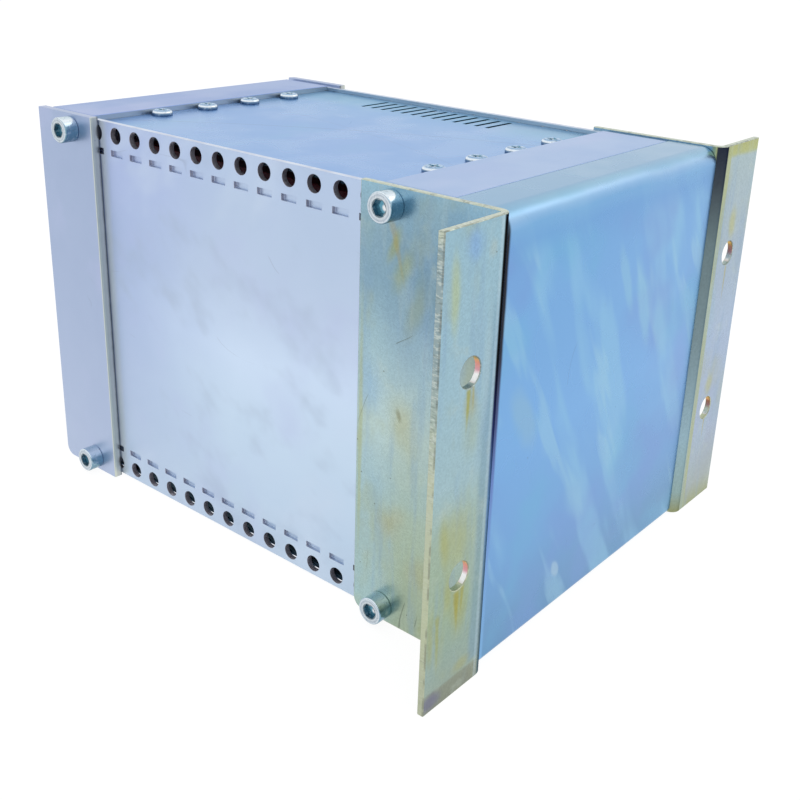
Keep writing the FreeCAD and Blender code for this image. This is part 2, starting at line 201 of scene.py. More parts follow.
# a stain that starts wide and runs out downwards
def makeDrip():
    tree, given, result = newGroup("drip", {"Centre": (0, 0, 0), "Width": 0.004, "Length": 0.02, "Slant": 0.0})
    away = add(tree, "SeparateXYZ", {0: vector(tree, "SUBTRACT", given["Place"], given["Centre"])}).outputs
    side = plus(tree, plus(tree, away[0], away[1]), times(tree, away[2], given["Slant"]))
    along = calc(tree, "DIVIDE", away[2], times(tree, given["Length"], -1.0))
    reach = times(tree, given["Width"], minus(tree, 1.2, along))
    uneven = times(tree, reach, plus(tree, 0.2, noise(tree, given["Place"], 260.0, 3.0)))
    body = fade(tree, calc(tree, "ABSOLUTE", side), times(tree, uneven, 0.2), uneven, 1.0, 0.0)
    ends = times(tree, fade(tree, along, -0.06, 0.05), fade(tree, along, 0.3, 1.0, 1.0, 0.0))
    tree.links.new(times(tree, body, ends), result["Mask"])
    return tree


def makePatch():
    tree, given, result = newGroup("patch", {
        "Centre": (0, 0, 0), "Reach": (0.01, 0.01, 0.01), "Turn": (0, 0, 0), "Softness": 0.6, "Warp": 0.004})
    bend = wobble(tree, given["Place"], 110.0, 4.0, times(tree, given["Warp"], 2.0))
    moved = vector(tree, "ADD", given["Place"], bend)
    turned = turnBy(tree, vector(tree, "SUBTRACT", moved, given["Centre"]), given["Turn"])
    distance = lengthOf(tree, vector(tree, "DIVIDE", turned, given["Reach"]))
    tree.links.new(fade(tree, distance, minus(tree, 1.0, given["Softness"]), 1.0, 1.0, 0.0), result["Mask"])
    return tree


# a fine line along a wide circle
def makeStroke():
    tree, given, result = newGroup("stroke", {"Centre": (0, 0, 0), "Radius": 0.1, "Width": 0.0003})
    distance = lengthOf(tree, vector(tree, "SUBTRACT", given["Place"], given["Centre"]))
    line = fade(tree, gapTo(tree, distance, given["Radius"]), 0.0, given["Width"], 1.0, 0.0)
    tree.links.new(line, result["Mask"])
    return tree


clouds = makeClouds()
scratches = makeScratches()
pits = makePits()
drip = makeDrip()
patch = makePatch()
stroke = makeStroke()
print("shared effects built")


def startMaterial(name, sizes):
    material = bpy.data.materials.new(name)
    material.use_nodes = True
    tree = material.node_tree
    shader = tree.nodes["Principled BSDF"].inputs
    shader["Roughness"].default_value = sizes["roughness"]
    shader["Metallic"].default_value = sizes["metallic"]
    shader["Specular Tint"].default_value = sizes.get("edge tint", (1, 1, 1, 1))
    place = add(tree, "TexCoord").outputs["Object"]
    return material, tree, place, add(tree, "SeparateXYZ", {0: place}).outputs


# stops are places in metres with a colour each
def blend(tree, value, stops):
    low, high = stops[0][0], stops[-1][0]
    made = add(tree, "ValToRGB", {0: add(tree, "MapRange", {0: value, 1: low, 2: high}).outputs[0]})
    line = made.color_ramp
    for index, (spot, colour) in enumerate(stops):
        where = (spot - low) / (high - low)
        point = line.elements[index] if index < 2 else line.elements.new(where)
        point.position = where
        point.color = paint(*colour)
    return made.outputs[0]


def drift(tree, place, value, amount, size):
    raw = useGroup(tree, clouds, place, {"Size": size, "Shift": (0.3, 0.1, 0.7)}, "Raw")
    return plus(tree, value, times(tree, minus(tree, raw, 0.5), 2 * amount))


def addClouds(tree, place, colour, layers):
    for layer in layers:
        mask = useGroup(tree, clouds, place, {
            "Size": layer["size"], "Stretch": layer.get("stretch", (1, 1, 1)), "Turn": layer.get("turn", (0, 0, 0)),
            "Shift": layer["shift"], "Warp": layer.get("warp", 0.004), "Low": layer["low"], "High": layer["high"]})
        colour = mixColours(tree, times(tree, mask, layer["amount"]), colour, paint(*layer["colour"]))
    return colour


# puts across and up on a flat face that stands square to the axis
def onFace(axis, level, across, up):
    spot = [across, across, up]
    spot[axis] = level
    return spot


def addPatches(tree, place, colour, axis, level, patches):
    for centre, reach, tilt, softness, shade, amount in patches:
        turn = [0, 0, 0]
        turn[axis] = tilt
        mask = useGroup(tree, patch, place, {
            "Centre": onFace(axis, level, *centre), "Reach": onFace(axis, 1, *reach), "Turn": turn,
            "Softness": softness, "Warp": min(reach) * 0.4})
        colour = mixColours(tree, times(tree, mask, amount), colour, paint(*shade))
    return colour


def addDrips(tree, place, colour, axis, level, drips):
    for centre, width, length, slant, shade, amount in drips:
        mask = useGroup(tree, drip, place, {
            "Centre": onFace(axis, level, *centre), "Width": width, "Length": length, "Slant": slant})
        colour = mixColours(tree, times(tree, mask, amount), colour, paint(*shade))
    return colour


# small crystals of zinc, each a little lighter or darker
def addSpangle(tree, place, colour, amount, spacing):
    cells = add(tree, "TexVoronoi", {"Vector": place, "Scale": 1 / spacing}).outputs["Color"]
    shade = add(tree, "SeparateColor", {0: cells}).outputs[0]
    value = plus(tree, times(tree, minus(tree, shade, 0.5), amount), 1.0)
    return add(tree, "HueSaturation", {"Color": colour, "Value": value}).outputs[0]


wearSizes = {"scratch": {"Size": 0.02, "Width": 0.003, "Amount": 0.6}, "pit": {"Spacing": 0.006, "Radius": 0.05}}


# scratches, pits and grain end every finish; over is a last mask and its colour, used for painted shade
def endMetal(material, place, colour, sizes, over=None):
    tree, worn = material.node_tree, paint(*sizes["scratch colour"])
    lines = useGroup(tree, scratches, place, wearSizes["scratch"] | {
        "Stretch": sizes.get("scratch stretch", (1, 0.25, 1)), "Shift": sizes["shift"]})
    dots = useGroup(tree, pits, place, wearSizes["pit"] | {"Share": sizes["pits"]})
    colour = mixColours(tree, times(tree, lines, sizes["scratch"]), colour, worn)
    colour = mixColours(tree, times(tree, dots, 0.7), colour, worn)
    if over:
        colour = mixColours(tree, over[0], colour, over[1])
    grain = noise(tree, place, 2200.0, 2.0)
    broad = useGroup(tree, clouds, place, {"Size": 0.03, "Shift": sizes["shift"]})
    rough = plus(tree, plus(tree, times(tree, broad, 0.06), times(tree, lines, 0.1)), sizes["roughness"])
    bump = add(tree, "Bump", {"Height": minus(tree, grain, lines), "Strength": 1.0, "Distance": sizes["grain"]})
    connect(tree, tree.nodes["Principled BSDF"], {"Base Color": colour, "Roughness": rough, "Normal": bump.outputs[0]})
    return material


# levels that several finishes and sorts share
chassisSizes = {"middle": 0.066, "ear hole rise": 0.028575, "ear hole out": 0.072}


plateSizes = {
    "front": [(0.0, (188, 207, 227)), (0.02, (194, 214, 235)), (0.045, (200, 220, 240)), (0.066, (206, 224, 246)),
              (0.09, (191, 208, 232)), (0.112, (187, 205, 230)), (0.131, (186, 204, 231))],
    "rear": [(0.0, (190, 208, 229)), (0.02, (186, 204, 229)), (0.066, (177, 195, 227)), (0.09, (175, 193, 226)),
             (0.112, (176, 192, 229)), (0.131, (176, 192, 228))],
    "clouds": [
        {"size": 0.03, "stretch": (1, 0.6, 1), "turn": (0.7, 0, 0), "shift": (0.1, 0.2, 0.3),
         "low": 0.5, "high": 0.72, "colour": (204, 219, 238), "amount": 0.55},
        {"size": 0.018, "stretch": (1, 0.7, 1), "turn": (-0.6, 0, 0), "shift": (0.5, 0.2, 0.6),
         "low": 0.52, "high": 0.75, "colour": (168, 184, 206), "amount": 0.4},
        {"size": 0.05, "shift": (0.8, 0.5, 0.1), "low": 0.48, "high": 0.7, "colour": (188, 196, 232), "amount": 0.35}],
    "rear from": (0.0, 0.06), "rim": (238, 244, 250), "highlight starts": (0.063, 0.0668), "highlight ends": (0.0672, 0.0678, 1, 0),
    "inside": (172, 194, 206), "inside shade from": (0.0561, 0.0565, 1, 0),
    "shift": (0.3, 0.1, 0.2), "roughness": 0.34, "metallic": 0.92, "scratch": 0.3,
    "scratch colour": (150, 160, 178), "pits": 0.25, "grain": 0.00001}


def makePlateFinish(sizes):
    material, tree, place, (x, y, z) = startMaterial("plateSatin", sizes)
    height = drift(tree, place, z, 0.012, 0.05)
    front, rear = blend(tree, height, sizes["front"]), blend(tree, height, sizes["rear"])
    colour = mixColours(tree, fade(tree, drift(tree, place, y, 0.015, 0.04), *sizes["rear from"]), front, rear)
    colour = addClouds(tree, place, colour, sizes["clouds"])
    # painted highlight: a pale band on the plate just in front of each rear strip
    rim = times(tree, fade(tree, y, *sizes["highlight starts"]), fade(tree, y, *sizes["highlight ends"]))
    colour = mixColours(tree, times(tree, rim, 0.5), colour, paint(*sizes["rim"]))
    # painted shade: the inner faces of the plates are darker
    inside = fade(tree, calc(tree, "ABSOLUTE", x), *sizes["inside shade from"])
    colour = mixColours(tree, times(tree, inside, 0.7), colour, paint(*sizes["inside"]))
    return endMetal(material, place, colour, sizes)


stripSizes = {
    "ramp": [(0.0, (182, 196, 222)), (0.03, (176, 191, 219)), (0.066, (170, 186, 215)), (0.132, (166, 182, 212))],
    "edge": [(0.0578, (116, 122, 128)), (0.0582, (134, 140, 144)), (0.0586, (182, 188, 190)), (0.0598, (188, 194, 192)),
             (0.0601, (206, 212, 202)), (0.0608, (210, 216, 206))],
    "edge from": (0.0681, 0.0683, 1, 0),
    "clouds": [{"size": 0.03, "shift": (0.6, 0.2, 0.3), "low": 0.5, "high": 0.7, "colour": (184, 192, 226),
                "amount": 0.4}],
    "shift": (0.9, 0.4, 0.6), "roughness": 0.34, "metallic": 0.92, "scratch": 0.2,
    "scratch colour": (140, 150, 168), "pits": 0.2, "grain": 0.00001}


def makeStripFinish(sizes):
    material, tree, place, (x, y, z) = startMaterial("stripSatin", sizes)
    colour = addClouds(tree, place, blend(tree, drift(tree, place, z, 0.01, 0.04), sizes["ramp"]), sizes["clouds"])
    # painted shade and highlight on the front face of each strip: grey on its inner half, pale along its outer edge
    edge = blend(tree, drift(tree, place, calc(tree, "ABSOLUTE", x), 0.0003, 0.004), sizes["edge"])
    colour = mixColours(tree, fade(tree, y, *sizes["edge from"]), colour, edge)
    return endMetal(material, place, colour, sizes)


railSizes = {
    "front": (162, 188, 225), "rear": (143, 168, 214), "rear from": (0.0, 0.01),
    "step": (176, 188, 200), "outer from": (0.0651, 0.0654), "ends from": (0.0868, 0.0872), "ends middle": 0.00906,
    "clouds": [{"size": 0.03, "stretch": (0.3, 1, 1), "shift": (0.6, 0.7, 0.3), "low": 0.45, "high": 0.7,
                "colour": (184, 192, 230), "amount": 0.35}],
    "shift": (0.2, 0.7, 0.5), "roughness": 0.34, "metallic": 0.92, "scratch": 0.15, "scratch stretch": (0.2, 1, 1),
    "scratch colour": (120, 126, 140), "pits": 0.15, "grain": 0.00001}


def makeRailFinish(sizes):
    material, tree, place, (x, y, z) = startMaterial("railSatin", sizes)
    colour = mixColours(tree, fade(tree, y, *sizes["rear from"]), paint(*sizes["front"]), paint(*sizes["rear"]))
    colour = addClouds(tree, place, colour, sizes["clouds"])
    # painted shade: the step faces below the top of each rail are grey, except at the rail ends
    outer = fade(tree, gapTo(tree, z, chassisSizes["middle"]), *sizes["outer from"])
    ends = fade(tree, gapTo(tree, y, sizes["ends middle"]), *sizes["ends from"])
    colour = mixColours(tree, calc(tree, "MAXIMUM", outer, ends), paint(*sizes["step"]), colour)
    return endMetal(material, place, colour, sizes)


coverSizes = {
    "ramp": [(-0.056, (118, 166, 221)), (0.0, (120, 167, 221)), (0.03, (114, 168, 220)), (0.045, (106, 170, 211)),
             (0.056, (114, 167, 203))],
    "wall": (46, 70, 84), "wall shade until": (0.06345, 0.06355, 1, 0),
    "clouds": [
        {"size": 0.05, "stretch": (0.5, 1, 1), "turn": (0, 0, 0.4), "shift": (0.3, 0.5, 0.1),
         "low": 0.45, "high": 0.66, "colour": (142, 176, 226), "amount": 0.5},
        {"size": 0.03, "stretch": (0.6, 1, 1), "shift": (0.7, 0.1, 0.1), "low": 0.52, "high": 0.7,
         "colour": (120, 180, 216), "amount": 0.35}],
    "strokes": [((-0.3086, -0.1673, 0.1296), 0.3532, 0.0006, 0.45), ((-0.36, 0.1, 0.1296), 0.372, 0.0005, 0.2)],
    "stroke colour": (96, 126, 170),
    "shift": (0.6, 0.2, 0.8), "roughness": 0.26, "metallic": 0.95, "scratch": 0.2, "scratch colour": (86, 116, 152),
    "scratch stretch": (0.4, 1, 1), "pits": 0.2, "grain": 0.000003}


def makeCoverFinish(sizes):
    material, tree, place, (x, y, z) = startMaterial("coverBlue", sizes)
    colour = blend(tree, drift(tree, place, x, 0.008, 0.04), sizes["ramp"])
    colour = addClouds(tree, place, colour, sizes["clouds"])
    for centre, radius, width, amount in sizes["strokes"]:
        mask = useGroup(tree, stroke, place, {"Centre": centre, "Radius": radius, "Width": width})
        colour = mixColours(tree, times(tree, mask, amount), colour, paint(*sizes["stroke colour"]))
    # painted shade: the covers are dark everywhere but on their outer faces
    wall = fade(tree, gapTo(tree, z, chassisSizes["middle"]), *sizes["wall shade until"])
    return endMetal(material, place, colour, sizes, (wall, paint(*sizes["wall"])))


# patches lie on the front face: across and up, reach, tilt, softness, colour and amount
frontSizes = {
    "face": -0.0958,
    "ramp": [(0.0, (98, 146, 188)), (0.01, (104, 152, 194)), (0.03, (112, 162, 212)), (0.066, (120, 172, 224)),
             (0.09, (117, 169, 220)), (0.112, (116, 168, 219)), (0.122, (110, 162, 214)), (0.1262, (118, 170, 216)),
             (0.1282, (146, 188, 228)), (0.1293, (166, 202, 234)), (0.1304, (150, 192, 218)),
             (0.1315, (142, 182, 208))],
    "marks until": (0.116, 0.124, 1.0, 0.25), "top": (126, 170, 204), "top from": (-0.0925, -0.0905),
    "clouds": [
        {"size": 0.02, "stretch": (1, 1, 0.2), "turn": (0, 0.42, 0), "shift": (0.4, 0.1, 0.2),
         "low": 0.5, "high": 0.62, "colour": (138, 190, 222), "amount": 0.55, "warp": 0.01},
        {"size": 0.012, "stretch": (1, 1, 0.16), "turn": (0, 0.5, 0), "shift": (0.8, 0.6, 0.5),
         "low": 0.56, "high": 0.64, "colour": (150, 196, 220), "amount": 0.45, "warp": 0.008},
        {"size": 0.05, "shift": (0.15, 0.2, 0.9), "low": 0.5, "high": 0.68, "colour": (116, 152, 210), "amount": 0.55},
        {"size": 0.04, "shift": (0.55, 0.7, 0.3), "low": 0.52, "high": 0.7, "colour": (108, 176, 212), "amount": 0.4}],
    "patches": [
        ((-0.044, 0.072), (0.0055, 0.015), 0.5, 0.65, (138, 180, 206), 0.55),
        ((-0.02, 0.014), (0.0022, 0.004), 0.5, 0.5, (158, 190, 214), 0.7),
        ((0.018, 0.09), (0.004, 0.02), 0.35, 0.6, (142, 192, 218), 0.5),
        ((0.032, 0.078), (0.005, 0.016), 0.4, 0.6, (140, 190, 220), 0.45),
        ((0.006, 0.1), (0.003, 0.016), 0.4, 0.6, (140, 190, 216), 0.45),
        ((-0.012, 0.036), (0.006, 0.014), 0.6, 0.7, (136, 184, 216), 0.4),
        ((0.048, 0.062), (0.012, 0.022), 0, 0.9, (122, 156, 212), 0.55)],
    "marginShade": [(0.0, (118, 172, 216)), (0.03, (114, 160, 214)), (0.058, (98, 128, 190)), (0.075, (60, 72, 120)),
               (0.095, (14, 20, 40)), (0.125, (8, 13, 26)), (0.129, (60, 84, 100)), (0.1315, (120, 150, 166))],
    "margin until": (-0.0567, -0.0556, 1, 0), "margin back": (-0.0915, -0.0905, 1, 0),
    "shift": (0.15, 0.5, 0.3), "roughness": 0.22, "metallic": 0.95, "scratch": 0.35, "scratch colour": (96, 128, 168),
    "scratch stretch": (1, 1, 0.3), "pits": 0.3, "grain": 0.000005}


def makeFrontFinish(sizes):
    material, tree, place, (x, y, z) = startMaterial("frontBlue", sizes)
    # the ramp holds a painted highlight along the top bend with painted shade just under it
    plain = blend(tree, drift(tree, place, z, 0.002, 0.03), sizes["ramp"])
    marked = addClouds(tree, place, plain, sizes["clouds"])
    marked = addPatches(tree, place, marked, 1, sizes["face"], sizes["patches"])
    colour = mixColours(tree, fade(tree, z, *sizes["marks until"]), plain, marked)
    colour = mixColours(tree, fade(tree, y, *sizes["top from"]), colour, paint(*sizes["top"]))
    # the painted shade beside the near bracket runs out towards the bottom
    marginShade = blend(tree, drift(tree, place, z, 0.003, 0.02), sizes["marginShade"])
    near = fade(tree, drift(tree, place, x, 0.0002, 0.01), *sizes["margin until"])
    return endMetal(material, place, colour, sizes, (times(tree, near, fade(tree, y, *sizes["margin back"])), marginShade))


# patches and drips lie on the web or on the ears: along and up, then reach or width and length
bracketSizes = {
    "web face": -0.0598, "ear face": -0.0977,
    "web": [(0.0, (156, 172, 148)), (0.02, (164, 181, 158)), (0.045, (168, 189, 178)), (0.066, (180, 199, 192)),
            (0.08, (162, 188, 196)), (0.095, (138, 167, 186)), (0.108, (118, 150, 168)), (0.118, (116, 148, 170)),
            (0.132, (138, 176, 198))],
    "web rear": [(0.0, (164, 194, 194)), (0.012, (164, 192, 192)), (0.02, (164, 190, 189)), (0.045, (166, 194, 200)),
                 (0.066, (184, 207, 207)), (0.085, (162, 191, 200)), (0.105, (134, 166, 184)), (0.118, (140, 170, 182)),
                 (0.132, (146, 182, 200))],
    "rear from": (-0.07, -0.056),
    "near ear": [(0.0, (128, 134, 118)), (0.0055, (134, 142, 126)), (0.0062, (146, 164, 152)), (0.015, (145, 167, 155)),
                 (0.03, (152, 173, 146)), (0.05, (157, 178, 160)), (0.066, (158, 187, 194)), (0.095, (153, 186, 200)),
                 (0.132, (148, 183, 198))],
    "far ear": [(0.0, (150, 158, 112)), (0.008, (156, 168, 168)), (0.03, (158, 174, 198)), (0.066, (160, 180, 206)),
                (0.1, (157, 176, 190)), (0.1272, (160, 181, 186)), (0.1286, (170, 178, 118)), (0.132, (166, 171, 102))],
    "ear from": (-0.094, -0.0934, 1, 0),
    "far column": (164, 174, 120), "far column until": (0.064, 0.0648, 0.8, 0),
    "near column": (118, 152, 172), "near column until": (0.0645, 0.067, 0.6, 0),
    "near column foot": (0.006, 0.008), "near column top": (0.1, 0.12, 1, 0),
    "near bend reflection": [(0.0, (140, 156, 150)), (0.03, (124, 150, 166)), (0.055, (120, 152, 188)), (0.075, (70, 80, 116)),
                  (0.095, (12, 16, 30)), (0.13, (6, 9, 18)), (0.132, (60, 70, 76))],
    "far bend reflection": [(0.0, (146, 150, 108)), (0.008, (146, 170, 168)), (0.03, (148, 176, 188)), (0.066, (120, 140, 146)),
                 (0.1, (104, 122, 126)), (0.12, (62, 70, 78)), (0.132, (40, 46, 60))],
    "bend until": (0.0612, 0.0619, 1, 0), "bend back": (-0.0956, -0.095, 1, 0),
    "glint": (186, 208, 220), "glint starts": (0.0616, 0.062), "glint ends": (0.0624, 0.0632, 1, 0),
    "clouds": [
        {"size": 0.016, "stretch": (1, 1, 0.6), "shift": (0.2, 0.4, 0.6), "low": 0.52, "high": 0.7,
         "colour": (166, 170, 112), "amount": 0.3},
        {"size": 0.02, "stretch": (1, 1, 0.5), "shift": (0.9, 0.1, 0.3), "low": 0.5, "high": 0.7,
         "colour": (150, 182, 196), "amount": 0.3},
        {"size": 0.009, "shift": (0.4, 0.8, 0.1), "low": 0.55, "high": 0.75, "colour": (182, 196, 184), "amount": 0.3},
        {"size": 0.005, "stretch": (1, 1, 0.12), "shift": (0.3, 0.2, 0.7), "low": 0.5, "high": 0.68,
         "colour": (128, 160, 190), "amount": 0.3},
        {"size": 0.004, "stretch": (1, 1, 0.15), "shift": (0.9, 0.5, 0.2), "low": 0.54, "high": 0.7,
         "colour": (184, 200, 196), "amount": 0.15}],
    "web patches": [
        ((-0.0625, 0.1165), (0.0022, 0.008), -0.35, 0.9, (158, 162, 78), 0.5),
        ((-0.0655, 0.11), (0.0035, 0.01), -0.45, 0.9, (152, 160, 88), 0.42),
        ((-0.07, 0.1), (0.004, 0.014), -0.3, 0.9, (152, 160, 112), 0.35),
        ((-0.067, 0.066), (0.007, 0.012), 0.3, 0.9, (178, 178, 130), 0.4),
        ((-0.0655, 0.0685), (0.0012, 0.003), 0.3, 0.8, (120, 118, 84), 0.5),
        ((-0.055, 0.074), (0.006, 0.012), 0, 0.9, (150, 186, 214), 0.45),
        ((-0.089, 0.088), (0.005, 0.022), 0, 0.9, (166, 172, 132), 0.5),
        ((-0.0515, 0.06), (0.0012, 0.05), 0, 0.7, (170, 176, 110), 0.45),
        ((-0.078, 0.022), (0.01, 0.01), 0.8, 0.9, (170, 158, 104), 0.3),
        ((-0.064, 0.034), (0.009, 0.007), 0.9, 0.9, (172, 164, 116), 0.35)],
    "ear patches": [
        ((-0.0796, 0.116), (0.0026, 0.014), 0.05, 0.8, (172, 188, 150), 0.7),
        ((-0.0655, 0.1245), (0.0025, 0.0035), 0, 0.8, (176, 182, 164), 0.3),
        ((-0.065, 0.095), (0.0022, 0.024), 0, 0.9, (172, 198, 206), 0.5),
        ((-0.0715, 0.086), (0.004, 0.007), 0, 0.9, (168, 168, 112), 0.5),
        ((-0.0705, 0.078), (0.006, 0.01), 0, 0.9, (168, 176, 118), 0.3),
        ((-0.073, 0.1265), (0.005, 0.006), 0, 0.9, (126, 166, 214), 0.6),
        ((-0.074, 0.05), (0.009, 0.014), 0.2, 0.9, (170, 172, 108), 0.45),
        ((-0.079, 0.05), (0.003, 0.012), 0.1, 0.9, (166, 168, 96), 0.55),
        ((-0.0765, 0.034), (0.003, 0.009), 0.1, 0.9, (162, 164, 92), 0.5),
        ((-0.0715, 0.026), (0.005, 0.01), 0, 0.9, (160, 162, 92), 0.5),
        ((-0.083, 0.022), (0.002, 0.012), 0, 0.9, (160, 162, 96), 0.45),
        ((-0.069, 0.008), (0.006, 0.003), 0.2, 0.9, (164, 162, 96), 0.45),
        ((-0.082, 0.003), (0.006, 0.0035), 0, 0.7, (106, 106, 136), 0.7),
        ((0.0725, 0.105), (0.004, 0.008), 0, 0.8, (176, 176, 96), 0.6),
        ((0.072, 0.046), (0.004, 0.006), 0, 0.8, (176, 176, 96), 0.5)],
    "web drips": [
        ((-0.0612, 0.1225), 0.002, 0.02, -0.3, (168, 150, 74), 0.35),
        ((-0.061, 0.003), 0.002, 0.006, 0.0, (160, 150, 70), 0.5)],
    "ear drips": [
        ((-0.0723, 0.0902), 0.0016, 0.014, -0.02, (160, 158, 66), 0.75),
        ((-0.0705, 0.0905), 0.0011, 0.008, 0.05, (168, 156, 76), 0.5),
        ((-0.0728, 0.033), 0.0021, 0.015, 0.06, (158, 152, 58), 0.8),
        ((-0.0702, 0.0335), 0.0013, 0.01, -0.04, (160, 156, 66), 0.65),
        ((-0.0805, 0.029), 0.0018, 0.022, 0.04, (156, 158, 78), 0.55),
        ((0.072, 0.09), 0.001, 0.016, 0.0, (172, 160, 60), 0.7),
        ((0.072, 0.033), 0.001, 0.01, 0.0, (172, 160, 60), 0.6)],
    "shift": (0.45, 0.35, 0.1), "roughness": 0.24, "metallic": 0.95, "scratch": 0.6, "scratch colour": (96, 104, 92),
    "scratch stretch": (1, 1, 0.5), "pits": 0.35, "grain": 0.000015}


def makeBracketFinish(name, sizes):
    material, tree, place, (x, y, z) = startMaterial(name, sizes)
    width, height = calc(tree, "ABSOLUTE", x), drift(tree, place, z, 0.01, 0.03)
    far = calc(tree, "GREATER_THAN", x, 0.0)
    near = minus(tree, 1.0, far)
    rear = fade(tree, drift(tree, place, y, 0.006, 0.02), *sizes["rear from"])
    web = mixColours(tree, rear, blend(tree, height, sizes["web"]), blend(tree, height, sizes["web rear"]))
    ear = mixColours(tree, far, blend(tree, drift(tree, place, z, 0.0006, 0.02), sizes["near ear"]),
                     blend(tree, drift(tree, place, z, 0.001, 0.02), sizes["far ear"]))
    # the part of each ear beside the bend has its own colour
    column = times(tree, far, fade(tree, width, *sizes["far column until"]))
    ear = mixColours(tree, column, ear, paint(*sizes["far column"]))
    column = times(tree, near, fade(tree, drift(tree, place, width, 0.0006, 0.02), *sizes["near column until"]))
    ends = times(tree, fade(tree, z, *sizes["near column foot"]), fade(tree, z, *sizes["near column top"]))
    ear = mixColours(tree, times(tree, column, ends), ear, paint(*sizes["near column"]))
    onEar = fade(tree, y, *sizes["ear from"])
    colour = addClouds(tree, place, mixColours(tree, onEar, web, ear), sizes["clouds"])
    for axis, part in enumerate(("web", "ear")):
        colour = addPatches(tree, place, colour, axis, sizes[part + " face"], sizes[part + " patches"])
    for axis, part in enumerate(("web", "ear")):
        colour = addDrips(tree, place, colour, axis, sizes[part + " face"], sizes[part + " drips"])
    # a painted dark reflection on the outside of each bend, darkest towards the top
    bend = mixColours(tree, far, blend(tree, z, sizes["near bend reflection"]), blend(tree, z, sizes["far bend reflection"]))
    onBend = times(tree, fade(tree, width, *sizes["bend until"]), fade(tree, y, *sizes["bend back"]))
    colour = mixColours(tree, onBend, colour, bend)
    glint = times(tree, fade(tree, width, *sizes["glint starts"]), fade(tree, width, *sizes["glint ends"]))
    glint = times(tree, times(tree, near, glint), times(tree, onEar, 0.3))
    colour = mixColours(tree, glint, colour, paint(*sizes["glint"]))
    colour = addSpangle(tree, place, colour, 0.13, 0.0005)
    return endMetal(material, place, colour, sizes)


edgeSizes = {
    "ramp": [(0.0, (178, 184, 160)), (0.03, (188, 196, 166)), (0.07, (190, 198, 176)), (0.085, (172, 188, 178)),
             (0.1, (148, 168, 172)), (0.128, (150, 170, 174)), (0.1308, (190, 200, 182)), (0.132, (194, 203, 186))],
    "clouds": [
        {"size": 0.002, "stretch": (1, 1, 3.5), "shift": (0.2, 0.3, 0.1), "low": 0.5, "high": 0.6,
         "colour": (212, 222, 216), "amount": 0.55},
        {"size": 0.002, "stretch": (1, 1, 4), "shift": (0.6, 0.3, 0.8), "low": 0.54, "high": 0.64,
         "colour": (110, 124, 120), "amount": 0.5},
        {"size": 0.006, "shift": (0.1, 0.9, 0.4), "low": 0.5, "high": 0.7, "colour": (196, 192, 140), "amount": 0.12}],
    "marks from": (0.055, 0.085, 0.2, 1.0), "corner": (-0.0975, -0.0971, 1, 0), "chip colour": (84, 88, 84),
    "chips": {"Size": 0.004, "Shift": (0.3, 0.3, 0.6), "Low": 0.42, "High": 0.6},
    "shift": (0.5, 0.5, 0.5), "roughness": 0.32, "metallic": 0.9, "scratch": 0.5, "scratch colour": (96, 98, 80),
    "pits": 0.5, "grain": 0.00004}


def makeEdgeFinish(sizes):
    material, tree, place, (x, y, z) = startMaterial("cutEdge", sizes)
    plain = blend(tree, drift(tree, place, z, 0.002, 0.01), sizes["ramp"])
    marked = addClouds(tree, place, plain, sizes["clouds"])
    colour = mixColours(tree, fade(tree, drift(tree, place, z, 0.01, 0.01), *sizes["marks from"]), plain, marked)
    chips = useGroup(tree, clouds, place, sizes["chips"])
    corner = fade(tree, drift(tree, place, y, 0.0002, 0.003), *sizes["corner"])
    colour = mixColours(tree, times(tree, times(tree, chips, corner), 0.45), colour, paint(*sizes["chip colour"]))
    return endMetal(material, place, colour, sizes)


# colours by the height above or below the middle of each ear hole; the white band low on the wall is a painted
# highlight
holeSizes = {
    "wall": [(-0.0045, (150, 110, 70)), (-0.003, (236, 240, 240)), (-0.0018, (244, 246, 246)),
             (-0.0006, (214, 160, 170)), (0.0012, (222, 150, 130)), (0.0028, (220, 184, 96)), (0.0045, (196, 178, 92))],
    "shift": (0.25, 0.6, 0.5), "roughness": 0.3, "metallic": 0.85, "scratch": 0.3, "scratch colour": (120, 90, 70),
    "pits": 0.2, "grain": 0.00002}


def makeHoleFinish(sizes):
    material, tree, place, (x, y, z) = startMaterial("holeWall", sizes)
    level = minus(tree, z, chassisSizes["middle"])
    outward = minus(tree, calc(tree, "ABSOLUTE", level), chassisSizes["ear hole rise"])
    upward = times(tree, outward, calc(tree, "SIGN", level))
    colour = blend(tree, drift(tree, place, upward, 0.0006, 0.003), sizes["wall"])
    return endMetal(material, place, colour, sizes)


def makePlain(name, sizes):
    material, tree, place, axes = startMaterial(name, sizes)
    broad = useGroup(tree, clouds, place, {"Size": sizes["patch"], "Shift": sizes["shift"], "Low": 0.38, "High": 0.62})
    colour = mixColours(tree, broad, paint(*sizes["first"]), paint(*sizes["second"]))
    return endMetal(material, place, colour, sizes)
